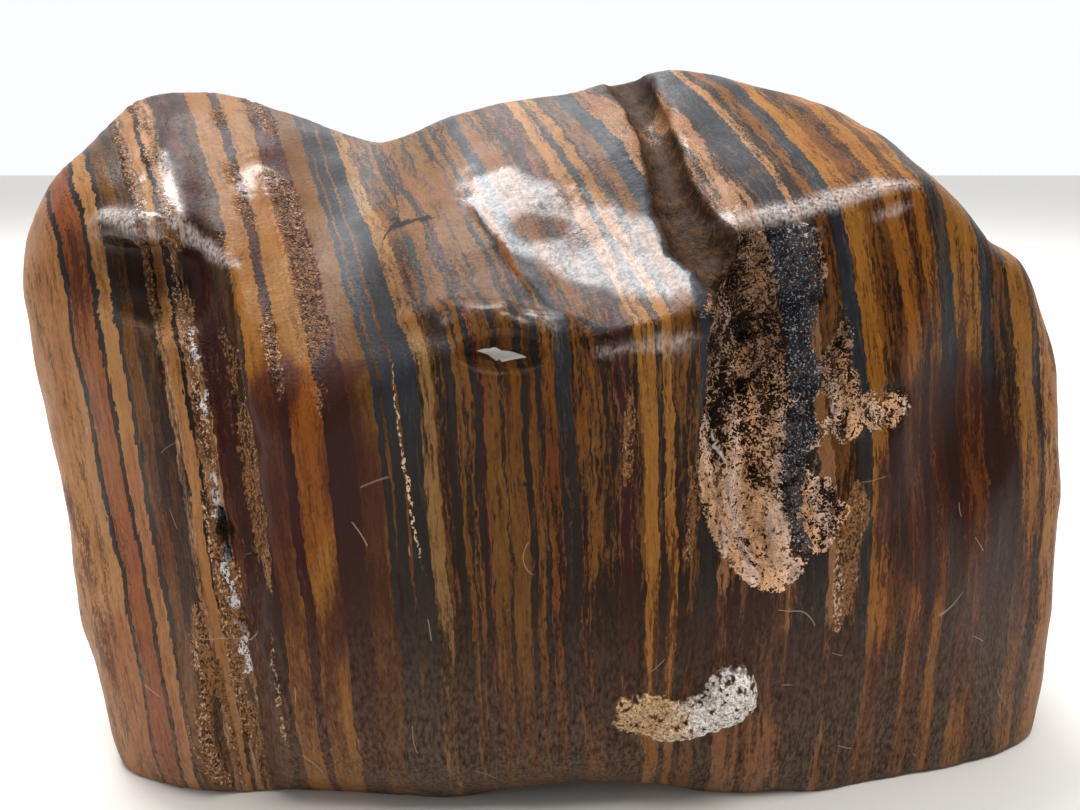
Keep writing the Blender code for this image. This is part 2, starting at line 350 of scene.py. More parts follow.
def even_out(points, mesh, rounds, pulls):
    """Spread the points evenly over the surface, so that steep walls get their share."""
    edges = np.empty(len(mesh.edges) * 2, int)
    mesh.edges.foreach_get("vertices", edges)
    ends = edges.reshape(-1, 2)
    count = np.bincount(ends.ravel(), minlength=len(points))
    for _ in range(rounds):
        total = np.zeros_like(points)
        for here, there in ((0, 1), (1, 0)):
            for axis in range(3):
                total[:, axis] += np.bincount(ends[:, here], points[ends[:, there], axis], len(points))
        points = 0.5 * points + 0.5 * total / count[:, None]
        for _ in range(pulls):
            points = pull_to_surface(points)
    return on_floor(points)


def finer(mesh, levels):
    """The mesh with every face split in four, levels times over."""
    holder = bpy.data.objects.new("holder", mesh)
    bpy.context.scene.collection.objects.link(holder)
    split = holder.modifiers.new("split", "SUBSURF")
    split.subdivision_type = "SIMPLE"
    split.levels = split.render_levels = levels
    bpy.context.view_layer.update()
    result = bpy.data.meshes.new_from_object(holder.evaluated_get(bpy.context.evaluated_depsgraph_get()))
    bpy.data.objects.remove(holder)
    bpy.data.meshes.remove(mesh)
    return result


# ---------------------------------------------------------------- layers and places on the stone

# Each layer: where it ends along the layer coordinate, in millimetres, and its kind.
LOG = [
    (-73, "ochre"), (-71.6, "dark"), (-68, "brown"), (-66.5, "steel"), (-62, "ochre"), (-61.2, "dark"),
    (-57, "ochre"), (-51.3, "ochre"), (-50.7, "dark"), (-48.2, "russet"), (-47.6, "dark"), (-46.0, "ochre"),
    (-45.3, "dark"), (-43.6, "brown"), (-41.3, "dusk"), (-40.3, "pale"), (-39.2, "ochre"), (-38.5, "dark"),
    (-36.6, "pale"), (-33.6, "maroon"), (-31.6, "dusk"), (-29.0, "gold"), (-27.6, "maroon"),
    (-24.4, "gold"), (-21.2, "maroon"), (-18.3, "amber"), (-17.5, "steel"), (-17.1, "brown"),
    (-15.9, "steel"), (-15.5, "brown"), (-13.4, "steel"), (-11.6, "olive"), (-10.0, "dusk"), (-9.2, "dark"),
    (-8.6, "amber"), (-8.1, "dark"), (-7.5, "brown"), (-6.7, "dark"), (-6.0, "maroon"), (-4.2, "amber"),
    (-3.8, "dark"), (-1.8, "amber"), (-1.1, "dark"), (-0.2, "amber"), (0.6, "dark"), (2.1, "brown"),
    (3.8, "steel"), (6.6, "brown"), (8.6, "dusk"), (10.4, "maroon"), (11.4, "dusk"), (13.2, "gold"),
    (13.9, "dark"), (15.2, "gold"), (16.3, "dusk"), (17.8, "brown"), (20.4, "steel"), (24.0, "tan"),
    (25.2, "dusk"), (29.6, "tan"), (30.4, "dark"), (34.2, "steel"), (35.2, "tan"), (36.4, "dusk"),
    (38.0, "brown"), (39.9, "steel"), (42.2, "gold"), (43.6, "brown"), (45.2, "dusk"), (47.4, "gold"),
    (48.4, "dusk"), (50.3, "gold"), (52.3, "steel"), (55.6, "gold"), (57.0, "steel"), (59.6, "dusk"),
    (61.5, "gold"), (62.2, "dark"), (65.5, "ochre"), (66.3, "steel"), (69.5, "brown"), (70.6, "dark"),
    (74, "gold"), (90, "brown"),
]
LOG_LOW, LOG_HIGH = -80.0, 90.0
RAMP_JOINTS = [-27.6, 13.2]

BROWN_BLACK = (0.019, 0.0105, 0.006)
SOOT_BLACK = (0.018, 0.015, 0.014)
BLUE_BLACK = (0.019, 0.021, 0.027)
RED_BLACK = (0.030, 0.010, 0.009)

# Each kind of layer: its light and dark colours, how much of it is light, and how grainy it is.
KINDS = {
    "ochre": ((0.290, 0.135, 0.046), (0.110, 0.045, 0.016), 0.78, 0.0),
    "gold": ((0.220, 0.090, 0.015), (0.070, 0.028, 0.008), 0.74, 0.0),
    "amber": ((0.115, 0.048, 0.009), (0.050, 0.021, 0.007), 0.70, 0.0),
    "brown": ((0.122, 0.046, 0.008), BROWN_BLACK, 0.58, 0.0),
    "russet": ((0.210, 0.068, 0.020), (0.070, 0.020, 0.010), 0.68, 0.0),
    "olive": ((0.180, 0.092, 0.030), BROWN_BLACK, 0.64, 0.0),
    "dusk": ((0.100, 0.038, 0.009), BROWN_BLACK, 0.38, 0.14),
    "dark": ((0.110, 0.044, 0.013), SOOT_BLACK, 0.16, 0.05),
    "maroon": ((0.120, 0.038, 0.015), RED_BLACK, 0.34, 0.08),
    "steel": ((0.060, 0.042, 0.030), BLUE_BLACK, 0.10, 0.0),
    "pale": ((0.420, 0.230, 0.120), BROWN_BLACK, 0.50, 1.0),
    "tan": ((0.220, 0.104, 0.042), BROWN_BLACK, 0.68, 0.3),
}


def layer_coordinate(p):
    """Distance across the layers, which strike back and to the left, stand nearly upright and bend gently."""
    x = p[:, 0] / 70
    y = (p[:, 1] + 40) / 40
    z = (p[:, 2] - 45) / 45
    back = 1.2 * np.tanh(y / 1.2)
    strike = 6.8 * y + back * (-12.5 * x - 2.4 * x**2 - 7.9 * x**3 + 4.4 * z)
    dip = z * (3.2 + 2.3 * x - 1.4 * x**2) + z**2 * (1.3 + 2.5 * x)
    return p[:, 0] + strike + dip


def step01(t, low, high):
    """0 below low, 1 above high, smooth between."""
    t = np.clip((t - low) / (high - low), 0.0, 1.0)
    return t * t * (3 - 2 * t)


def hash01(cell, seed):
    """A repeatable number from 0 to 1 for each whole-number cell."""
    n = cell[:, 0] * 73856093 ^ cell[:, 1] * 19349663 ^ cell[:, 2] * 83492791 ^ (seed * 2654435 + 12345)
    n = (n ^ (n >> 13)) * 1274126177 & 0x7FFFFFFF
    n = (n ^ (n >> 15)) * 668265263 & 0x7FFFFFFF
    return ((n ^ (n >> 14)) & 0xFFFF) / 65535.0


def value_noise(p, size, seed):
    """Smooth noise from -1 to 1 with features of that size."""
    q = p / size
    cell = np.floor(q).astype(np.int64)
    f = q - cell
    f = f * f * (3 - 2 * f)
    total = np.zeros(len(p))
    for corner in np.ndindex(2, 2, 2):
        weight = np.prod(np.where(corner, f, 1 - f), axis=1)
        total += weight * hash01(cell + np.array(corner), seed)
    return 2 * total - 1


def fractal(p, size, octaves, seed):
    total = np.zeros(len(p))
    share = 1.0
    for octave in range(octaves):
        total += share * value_noise(p, size / 2**octave, seed + octave)
        share *= 0.5
    return total


def pebbles(p, size, seed):
    """How far each point is from the nearest of many scattered grains, from 0 at a grain's middle."""
    q = p / size
    cell = np.floor(q).astype(np.int64)
    nearest = np.full(len(p), 9.0)
    for offset in np.ndindex(3, 3, 3):
        there = cell + np.array(offset) - 1
        seat = there + np.stack([hash01(there, seed + axis) for axis in range(3)], axis=1)
        nearest = np.minimum(nearest, np.linalg.norm(q - seat, axis=1))
    return nearest


# Stains, painted light and shade, painted edge highlights, grainy spots and polish, as ellipsoids (centre,
# radii and any turn in degrees) or as paths (knots of x, y, z and half width).
MAROON = [
    ((52, -28, 44), (12, 14, 17), (0, 8, 0)), ((24, -41, 28), (6, 8, 8), (0, 20, 0)),
    ((-31, -40, 42), (4, 6, 22), (0, 6, 0)), ((36, -38, 20), (10, 6, 8), (0, 30, 0)),
    ((-22, -42, 44), (2.4, 5, 16), (0, 4, 0)), ((60, -24, 24), (8, 9, 16), (0, 10, 0)),
]
RUST = [
    ((-54, -34, 14), (7, 12, 12), (0, -15, 0)), ((3, -42, 34), (4, 5, 20)),
    ((-50, -34, 42), (5, 10, 10)), ((28, -38, 12), (9, 6, 6)),
    ((46, -30, 30), (6, 10, 14), (0, 10, 0)), ((-28, -41, 50), (9, 6, 14)),
]
# Painted shade in the niche and under the pit's ridge, where those places lie in shade; the other ellipsoids
# darken the layers low on the front.
SHADE_AND_DIM = [
    ((-53, -24, 69), (9, 6, 7)), ((-6, -42, 8), (24, 8, 14)),
    ((52, -30, 12), (20, 18, 14)), ((10, -42, 26), (12, 6, 12)),
    ((-20, -42, 20), (10, 6, 18)), ((20.5, -32, 65), (4.5, 9, 6)),
    ((23.5, -34, 52.5), (3.0, 6, 5)),
]
# Painted light: these places on the roof are painted lighter.
LIT = [((-8, -20, 76), (17, 17, 9)), ((44, -20, 78), (14, 14, 10))]
GRAINY = [
    ((38, -35.6, 36), (1.7, 5, 11), (0, 2, 0)), ((9.8, -42.6, 56), (0.6, 3, 8), (0, 2, 0)),
    ((18.0, -40, 47), (0.9, 3, 9), (0, 6, 0)),
]
POLISH = [
    ((-37.6, -14, 80.5), (2.6, 5, 4)), ((23.0, -17.4, 85.0), (4.5, 5.5, 4)),
    ((30, -30, 77), (15, 3, 3), (0, -8, 8)), ((-49, -16, 79), (2.2, 9, 4)),
    ((-51, -24, 75), (6, 4, 3)), ((-4, -39.6, 66.8), (8, 2.0, 1.0)),
    ((11, -42.8, 64.4), (6, 2.0, 1.0)),
]
POLISHED_DISH = [
    (-9.5, -11.5, 81.5, 1.5), (-7.0, -15.5, 80.0, 4.0), (0.5, -24.0, 77.0, 7.0), (8.5, -31.0, 74.5, 6.5),
    (14.5, -38.5, 71.5, 3.5),
]
# Painted highlights: pale streaks along the ridge, lips, lobe and brow where light glances off them.
HIGHLIGHT_EDGES = [
    [(19.0, -27.2, 75.7, 0.3), (20.8, -31.3, 75.8, 0.8), (23.3, -31.8, 76.3, 1.0), (27.7, -29.8, 77.3, 0.9),
     (33.9, -28.3, 78.6, 0.8), (40.2, -26.7, 80.1, 0.7), (44.7, -25.7, 80.3, 0.3)],
    [(-49.8, -13.3, 84.2, 0.2), (-46.9, -20.8, 79.4, 0.8), (-44.6, -25.1, 76.6, 0.9),
     (-42.9, -24.7, 74.2, 0.7), (-40.4, -25.2, 72.4, 0.5), (-36.4, -28.3, 71.0, 0.2)],
    [(-53.7, -23.1, 76.8, 0.9), (-49.5, -25.6, 76.1, 1.1), (-46.6, -25.8, 74.7, 1.0)],
    [(-10.3, -39.6, 66.6, 0.1), (-7.6, -38.8, 67.0, 0.3), (-3.8, -38.7, 66.8, 0.4), (-1.1, -39.8, 66.5, 0.3),
     (1.9, -42.0, 66.0, 0.1)],
    [(6.3, -42.6, 63.7, 0.2), (12.6, -43.0, 64.6, 0.4), (15.4, -43.2, 65.2, 0.4)],
    [(39.4, -28.4, 76.7, 0.0), (41.8, -27.7, 77.4, 0.2), (44.1, -27.0, 78.0, 0.0)],
]
STAINED_DIMPLE = ((-0.5, -23.6, 75.2), (4.4, 3.6, 3.6), (0, 0, -30))
SMOOTH_REMNANT = ((34.8, -32, 70), (1.6, 5, 11), (0, 8, 0))
SLOT = [(-38.4, -36.4, 43.0, 0.10), (-38.1, -36.8, 40.3, 0.45), (-37.8, -37.2, 36.6, 0.10)]
STEEL_STREAK = [
    (28.9, -30.8, 76.0, 1.9), (30.3, -30.7, 71.3, 2.2), (31.7, -30.1, 64.2, 1.9), (32.2, -30.1, 58.4, 1.7),
    (32.1, -30.5, 52.4, 2.2), (32.0, -31.6, 46.6, 1.6), (31.1, -33.4, 41.1, 0.8), (32.1, -36.0, 37.6, 1.3),
]
STEEL_STREAK_RIGHT = [
    (35.6, -30.0, 76.0, 1.2), (36.1, -30.0, 73.5, 1.2), (37.0, -30.9, 68.4, 1.0), (37.8, -32.0, 61.7, 0.4),
]

# Each place round such shapes: how far ragged and upright noise fray its edge, and the distances from the
# shape at which it is still whole and has ended, in millimetres.
AROUND = {
    "remnant": ([SMOOTH_REMNANT], 0.8, 0.0, -0.8, 0.6),
    "ledge": ([LEDGE], 2.2, 1.2, -0.8, 1.4),
    "trough": ([GRAINY_TROUGH], 1.4, 0.0, 0.0, 3.2),
    "grainy": (GRAINY, 0.8, 0.0, -0.7, 0.7),
    "quartz": (QUARTZ, 0.9, 0.0, -0.4, 1.2),
    "groove": ([GROOVE], 0.4, 0.0, 0.1, 0.9),
    "steel": ([STEEL_STREAK, STEEL_STREAK_RIGHT], 0.7, 0.0, -0.6, 0.6),
    "dish": ([POLISHED_DISH], 0.8, 0.0, -0.8, 0.8),
    "worn": (HIGHLIGHT_EDGES, 0.4, 0.0, -0.5, 0.9),
    "dimple": ([STAINED_DIMPLE], 1.0, 0.0, -1.0, 0.8),
    "polished": (POLISH, 0.6, 0.0, -0.8, 0.8),
    "maroon": (MAROON, 0.0, 2.5, -3.0, 3.0),
    "rust": (RUST, 0.0, 2.5, -3.5, 3.5),
    "shade_and_dim": (SHADE_AND_DIM, 0.0, 2.0, -4.0, 4.0),
    "lit": (LIT, 0.0, 2.0, -4.0, 4.0),
    "slot": ([SLOT], 0.0, 0.0, -0.1, 0.4),
}
SHAPED_PLACES = ("quartz", "maroon", "rust", "shade_and_dim", "lit", "steel", "worn", "groove", "slot")
PLACES = ("layer", "relief", "crumble", "grain", "warm", "polish", *SHAPED_PLACES)
MARGIN = 9.0        # shapes farther off than this don't matter
PATH_SPREAD = 5.0   # how far a path's own width can reach from its knots

# Noises on the surface: stretch along x, y and z, size in millimetres, octaves, seed.
EVEN = (1.0, 1.0, 1.0)
ROUGHNESS = {
    "wander": (EVEN, 20.0, 2, 15), "wander_close": ((1.0, 1.0, 0.22), 2.4, 2, 25),
    "ragged": (EVEN, 6.0, 3, 31), "upright": ((1.0, 1.0, 0.35), 9.0, 2, 41),
    "warm": ((1.0, 1.0, 0.5), 9.0, 3, 45), "lumps": (EVEN, 6.0, 2, 51),
    "gaps": ((1.0, 1.0, 0.8), 3.0, 2, 66), "grit": (EVEN, 0.9, 2, 71), "dirt": (EVEN, 2.4, 2, 72),
    "pits": ((1.0, 1.0, 0.5), 2.4, 2, 86), "crystals": (EVEN, 2.0, 3, 91), "skin": (EVEN, 2.6, 2, 95),
    "wax": (EVEN, 7.0, 2, 99),
}
GRAINS = {"crumbs": ((1.0, 1.0, 0.75), 1.1, 61), "grains": ((1.0, 1.0, 0.7), 1.0, 81)}
# These two run along the layers: stretch is along the layer coordinate, y and z.
STRANDS = ((1.0, 0.15, 0.09), 1.3, 2, 47)
LAMINAE = ((2.2, 0.1, 0.06), 1.0, 1, 97)

# Where other things begin and are whole: along x or z, along the layers or along a noise.
LIP = (67.0, 69.0)
HOLLOW_EDGE = (0.6, 2.4)
HOLLOW_FRAY = ([22, 32], [1.0, 2.6])
HOLLOW_BEGINS = (17.8, 18.8)
GRAIN_PATCHES = (-0.15, 0.25)
STRANDED = (-0.35, 0.15)
SOLID_KINDS = ("ochre", "gold", "maroon")
GRAINY_LAYERS = [(-29.1, -27.5), (-24.4, -21.2)]   # grainy high up only
GRAINY_ABOVE = (54.0, 61.0)
GRAINY_UPRIGHT = (-0.5, 0.0)
LAYER_SOFT = 0.3
WARM = (-0.15, 0.55)
WANDER = 0.55          # how far layers stray, in millimetres
WANDER_CLOSE = 0.28
FILLED_LAYER = -37.0   # the trough's middle is filled with white grains
GRAIN_EVEN_AT = 50.0   # layers are grainier above this height than below it

# The fine relief, in millimetres.
SLOT_DEPTH = 1.6
CRUMB_RIM, GRAIN_RIM = 0.55, 0.5   # how far from its middle a crumb or a grain is level
CRUMB_GAPS = (-0.1, 0.5)
LOW_SLOPE = (65.0, 71.5)   # along z and SLOPE_TILT times x
SLOPE_TILT = 0.9
TROUGH_PITS = (0.25, 0.6)
TROUGH_EDGE = (0.5, 3.5)
FLAT_FOOT = (0.2, 2.5)   # no relief within this height of the floor
FINER_FROM = 0.2

# Fine dark and pale marks, as paths of (x, y, z, half width) in the form's millimetres.
SLIT = [(3.6, -39.6, 67.2, 0.02), (6.2, -41.7, 66.0, 0.38), (8.5, -42.5, 64.7, 0.02)]
CRACK = [
    (-20.4, -20.4, 73.0, 0.06), (-19.2, -18.0, 74.7, 0.30), (-17.5, -18.4, 75.2, 0.34),
    (-14.7, -19.7, 75.9, 0.20), (-12.4, -20.7, 76.0, 0.02),
]
HAIRLINE = [(29.6, -21.2, 82.6, 0.03), (30.9, -22.3, 82.2, 0.12), (32.4, -23.4, 81.5, 0.03)]
CREASE = [(-24.0, 3.8, 84.2, 0.03), (-20.4, -8.7, 78.9, 0.10), (-18.2, -17.9, 75.2, 0.10)]
# A painted highlight: the glint in the eye, drawn as a white mark.
EYE_GLINT = [(-6.8, -42.0, 63.4, 0.02), (-4.6, -42.0, 63.0, 0.80), (-1.4, -42.0, 62.8, 0.02)]
VEIN = [
    (-15.9, -42.4, 62.0, 0.02), (-14.9, -42.4, 50.3, 0.20), (-14.4, -42.4, 44.2, 0.16),
    (-12.6, -41.8, 33.0, 0.10),
]
ROOTLET = [
    (19.6, -41.0, 61.5, 0.05), (20.6, -38.0, 55.5, 0.09), (22.2, -32.1, 48.9, 0.10),
    (24.2, -33.7, 43.0, 0.08), (24.2, -33.9, 41.4, 0.06), (26.5, -36.9, 36.2, 0.03),
]
MARKS = {"dark_mark": [SLIT, CRACK, HAIRLINE, CREASE], "pale_and_glint_mark": [EYE_GLINT, VEIN, ROOTLET]}
SEEN_FROM_FRONT = np.array([1.0, 0.2, 1.0])   # how much of x, y and z counts in the distance to a mark
MARK_REACH = np.array([3.0, 12.0, 3.0])
NO_MARK = -1.0
MARK_WHOLE = 1.0   # past this distance from its path a mark's width shrinks


def nearest_mark(p, paths):
    """Signed distance across the nearest path, seen from the front, and its half width (negative past it)."""
    across = np.full(len(p), MARGIN)
    width = np.full(len(p), NO_MARK)
    for path in paths:
        knots = np.array(path, float)
        last = len(knots) - 2
        for i, (a, b) in enumerate(zip(knots[:-1], knots[1:])):
            low, high = np.minimum(a, b)[:3] - MARK_REACH, np.maximum(a, b)[:3] + MARK_REACH
            near = np.flatnonzero(((p > low) & (p < high)).all(axis=1))
            off = (p[near] - a[:3]) * SEEN_FROM_FRONT
            run = (b[:3] - a[:3]) * SEEN_FROM_FRONT
            free = off @ run / (run @ run)
            t = np.clip(free, 0.0, 1.0)
            gap = np.linalg.norm(off - t[:, None] * run, axis=1)
            past = np.maximum(-free if i == 0 else 0.0, free - 1 if i == last else 0.0)
            closer = gap < np.abs(across[near])
            side = np.where(run[0] * off[:, 2] > run[2] * off[:, 0], 1.0, -1.0)
            across[near[closer]] = (side * gap)[closer]
            half = a[3] + (b[3] - a[3]) * t - np.maximum(past, 0.0) * np.linalg.norm(run)
            half -= np.maximum(gap - MARK_WHOLE, 0.0)
            width[near[closer]] = half[closer]
    return across, width


def gap_to(p, shapes):
    """Distance to the nearest ellipsoid or path, worked out only within MARGIN of each one's box."""
    gap = np.full(len(p), MARGIN)
    for shape in shapes:
        low, high = shape_box(shape, PATH_SPREAD)
        near = np.flatnonzero(((p > low - MARGIN) & (p < high + MARGIN)).all(axis=1))
        gap[near] = np.minimum(gap[near], shape_field(p[near], shape))
    return gap


def roughness(p, name):
    stretch, size, octaves, seed = ROUGHNESS[name]
    return fractal(p * stretch, size, octaves, seed)


def grains_gap(p, name):
    stretch, size, seed = GRAINS[name]
    return pebbles(p * stretch, size, seed)


def along_layers(p, layer, noise):
    stretch, size, octaves, seed = noise
    return fractal(np.stack([layer, p[:, 1], p[:, 2]], axis=1) * stretch, size, octaves, seed)


def of_log(layer, values):
    """The value that belongs to each point's layer, of one value for each layer of the log."""
    ends = np.array([end for end, _ in LOG])
    return np.array(values)[np.clip(np.searchsorted(ends, layer), 0, len(LOG) - 1)]


def crumble_place(p, around, ragged, upright):
    """The crumbly hollow below the lip, without its smooth remnant, and the ledge at its right."""
    below_lip = 1 - step01(p[:, 2] + 0.25 * p[:, 1] + 0.5 * ragged, *LIP)
    fray = np.interp(p[:, 0], *HOLLOW_FRAY) * (0.7 * ragged + 0.5 * upright)
    crumble = (1 - step01(gap_to(p, [HOLLOW]) + fray, *HOLLOW_EDGE)) * below_lip
    crumble *= step01(p[:, 0], *HOLLOW_BEGINS) * (1 - around["remnant"])
    return np.maximum(crumble, 0.8 * around["ledge"])


def grain_place(p, layer, around, ragged, upright):
    """Grain in strands down the trough, in patches of some layers, in a few spots and high in two layers."""
    in_log = of_log(layer + 0.5 * ragged, [KINDS[kind][3] for _, kind in LOG])
    in_solid = of_log(layer + 0.3 * ragged, [kind in SOLID_KINDS for _, kind in LOG])
    patchy = step01(upright + 0.02 * (p[:, 2] - GRAIN_EVEN_AT), *GRAIN_PATCHES)
    strands = along_layers(p, layer, STRANDS) + 0.35 * ragged
    stranded = step01(strands, *STRANDED) * np.where(in_solid, 0.25, 1.0)
    logged = in_log * patchy * (0.4 + 0.6 * stranded)
    grain = np.max([around["trough"] * stranded, logged, around["grainy"]], axis=0)
    high_up = step01(p[:, 2] + 2.0 * ragged, *GRAINY_ABOVE) * step01(upright, *GRAINY_UPRIGHT)
    frayed = layer + LAYER_SOFT * ragged
    for low, high in GRAINY_LAYERS:
        begun = step01(frayed, low - LAYER_SOFT, low + LAYER_SOFT)
        not_ended = 1 - step01(frayed, high - LAYER_SOFT, high + LAYER_SOFT)
        grain = np.maximum(grain, begun * not_ended * high_up)
    return grain


def places(p, layer):
    """How much each point belongs to each kind of place, from 0 to 1."""
    ragged = roughness(p, "ragged")
    upright = roughness(p, "upright")
    around = {
        name: 1 - step01(gap_to(p, shapes) + fray * ragged + tall_fray * upright, low, high)
        for name, (shapes, fray, tall_fray, low, high) in AROUND.items()
    }
    crumble = crumble_place(p, around, ragged, upright)
    polish = np.max([around[name] for name in ("polished", "dish", "worn")], axis=0)
    place = {name: around[name] for name in SHAPED_PLACES}
    place["crumble"] = crumble
    place["grain"] = grain_place(p, layer, around, ragged, upright) * (1 - crumble)
    place["warm"] = step01(roughness(p, "warm"), *WARM)
    place["polish"] = polish * (1 - around["groove"]) * (1 - around["dimple"])
    return place


def crumbly(p):
    crumbs = CRUMB_RIM - grains_gap(p, "crumbs")
    gaps = step01(roughness(p, "gaps"), *CRUMB_GAPS)
    low_slope = 1 - step01(p[:, 2] + SLOPE_TILT * p[:, 0], *LOW_SLOPE)
    broken = (1.2 * crumbs - 1.3 * gaps) * (1 - 0.6 * low_slope)
    return 0.2 + 0.8 * roughness(p, "lumps") + broken + 0.35 * roughness(p, "grit")


def grainy(p):
    grains = GRAIN_RIM - grains_gap(p, "grains")
    grit = roughness(p, "grit")
    pits = step01(roughness(p, "pits"), *TROUGH_PITS)
    in_trough = 1 - step01(gap_to(p, [GRAINY_TROUGH]), *TROUGH_EDGE)
    return 0.30 * grains + 0.15 * grit + in_trough * (0.25 * grains + 0.1 * grit - pits)


# The relief of each rough place, and of the wax on polished ones.
RELIEFS = {
    "crumble": crumbly,
    "grain": grainy,
    "quartz": lambda p: 0.6 * np.abs(roughness(p, "crystals")),
    "groove": lambda p: 0.10 * roughness(p, "dirt"),
    "polish": lambda p: 0.10 * roughness(p, "wax"),
}
NO_PLACE = 0.01


def fine_relief(p, place, layer):
    """Height of the fine surface over the worn form, in millimetres."""
    skin = 0.035 * roughness(p, "skin") + 0.05 * along_layers(p, layer, LAMINAE)
    height = (1 - place["crumble"]) * skin - SLOT_DEPTH * place["slot"]
    for name, shape in RELIEFS.items():
        near = np.flatnonzero(place[name] > NO_PLACE)
        height[near] += place[name][near] * shape(p[near])
    return height


def float_attribute(mesh, name, values):
    attribute = mesh.attributes.new(name, "FLOAT", "POINT")
    attribute.data.foreach_set("value", values.astype(np.float32))


def finer_where(mesh, chosen):
    """The mesh with the faces between chosen points split in four."""
    bm = bmesh.new()
    bm.from_mesh(mesh)
    edges = [edge for edge in bm.edges if chosen[edge.verts[0].index] and chosen[edge.verts[1].index]]
    bmesh.ops.subdivide_edges(bm, edges=edges, cuts=1, use_grid_fill=True)
    bm.to_mesh(mesh)
    bm.free()


def worn_form_mesh():
    """The worn form without its fine relief, finest where the surface is rough."""
    mesh = box_mesh(COARSE_STEP)
    write_points(mesh, even_out(slide_out(read_points(mesh)), mesh, rounds=5, pulls=4))
    mesh = finer(mesh, FINE_LEVELS)
    points = even_out(pull_to_surface(read_points(mesh)), mesh, rounds=2, pulls=2)
    write_points(mesh, points)
    place = places(points, layer_coordinate(points))
    rough = np.max([place[name] for name in ("crumble", "grain", "quartz", "groove")], axis=0)
    finer_where(mesh, rough > FINER_FROM)
    points = on_floor(pull_to_surface(read_points(mesh)))
    write_points(mesh, points)
    return mesh, points


def stone_mesh():
    """The fine surface in metres, with its layers and places as attributes, and the form's middle."""
    mesh, points = worn_form_mesh()
    middle = (points.min(axis=0) + points.max(axis=0)) / 2
    middle[2] = 0.0
    normals = np.empty(len(points) * 3)
    mesh.vertex_normals.foreach_get("vector", normals)
    layer = layer_coordinate(points)
    place = places(points, layer)
    layer += WANDER * roughness(points, "wander") + WANDER_CLOSE * roughness(points, "wander_close")
    relief = fine_relief(points, place, layer) * step01(points[:, 2], *FLAT_FOOT)
    write_points(mesh, (points + normals.reshape(-1, 3) * relief[:, None] - middle) * MM)
    for name, paths in MARKS.items():
        place[name], place[name + "_width"] = nearest_mark(points, paths)
    for name, values in {"layer": layer, "relief": relief, **place}.items():
        float_attribute(mesh, name, values)
    mesh.shade_smooth()
    return mesh, middle


# ---------------------------------------------------------------- material

class Nodes:
    """Short calls for building a material's or a world's node tree."""

    def __init__(self, owner):
        owner.use_nodes = True
        self.tree = owner.node_tree

    def put(self, socket, value):
        if hasattr(value, "is_output"):
            self.tree.links.new(value, socket)
        else:
            socket.default_value = value

    def node(self, kind, inputs, **settings):
        """The outputs of a new node with those settings; inputs are numbers or other nodes' outputs."""
        node = self.tree.nodes.new("ShaderNode" + kind)
        for name, value in settings.items():
            setattr(node, name, value)
        for key, value in inputs.items():
            self.put(node.inputs[key], value)
        return node.outputs

    def math(self, operation, *values, clamp=False):
        return self.node("Math", dict(enumerate(values)), operation=operation, use_clamp=clamp)[0]

    def sum(self, *terms):
        total = terms[0]
        for term in terms[1:]:
            total = self.math("ADD", total, term)
        return total

    def product(self, *factors):
        total = factors[0]
        for factor in factors[1:]:
            total = self.math("MULTIPLY", total, factor)
        return total

    def blend(self, factor, a, b):
        return self.node("Mix", {0: factor, 2: a, 3: b})[0]

    def mix(self, factor, a, b, blend="MIX"):
        return self.node("Mix", {0: factor, 6: a, 7: b}, data_type="RGBA", blend_type=blend)[2]

    def attribute(self, name):
        return self.node("Attribute", {}, attribute_name=name)["Fac"]

    def between(self, value, low, high, **limits):
        """0 below low, 1 above high."""
        inputs = {"Value": value, "From Min": low, "From Max": high, **limits}
        return self.node("MapRange", inputs, interpolation_type="SMOOTHSTEP")["Result"]

    def noise(self, where, scale, detail, roughness):
        inputs = {"Vector": where, "Scale": scale, "Detail": detail, "Roughness": roughness}
        return self.node("TexNoise", inputs)["Fac"]

    def stretched(self, x, y, z, scales):
        """A place whose three numbers are scaled one by one."""
        pairs = enumerate(zip((x, y, z), scales))
        scaled = {i: value if scale == 1.0 else self.product(value, scale) for i, (value, scale) in pairs}
        return self.node("CombineXYZ", scaled)[0]

    def scaled(self, vector, scale):
        return self.node("VectorMath", {0: vector, "Scale": scale}, operation="SCALE")["Vector"]

    def colour_ramp(self, position, stops):
        """stops are (position, rgba); each colour holds up to the next stop."""
        node = self.tree.nodes.new("ShaderNodeValToRGB")
        self.put(node.inputs[0], position)
        band = node.color_ramp
        band.interpolation = "CONSTANT"
        band.elements[0].position = stops[0][0]
        band.elements[0].color = stops[0][1]
        band.elements[1].position = stops[1][0]
        band.elements[1].color = stops[1][1]
        for place, colour in stops[2:]:
            band.elements.new(place).color = colour
        return node.outputs["Color"], node.outputs["Alpha"]


def layer_ramp(n, layer, colour_of):
    """The colour that colour_of gives each kind of layer, at a layer coordinate: colour and alpha outputs."""
    starts = [LOG_LOW] + [end for end, _ in LOG[:-1]]
    limits = [LOG_LOW, *RAMP_JOINTS, LOG_HIGH]
    colour = alpha = None
    for low, high in zip(limits[:-1], limits[1:]):
        stops = [
            (max(0.0, (start - low) / (high - low)), colour_of(kind))
            for start, (end, kind) in zip(starts, LOG) if end > low + 1e-6 and start < high - 1e-6
        ]
        position = n.math("DIVIDE", n.math("SUBTRACT", layer, low), high - low, clamp=True)
        here, amount = n.colour_ramp(position, stops)
        if colour is None:
            colour, alpha = here, amount
        else:
            past = n.math("GREATER_THAN", layer, low)
            colour = n.mix(past, colour, here)
            alpha = n.blend(past, alpha, amount)
    return colour, alpha


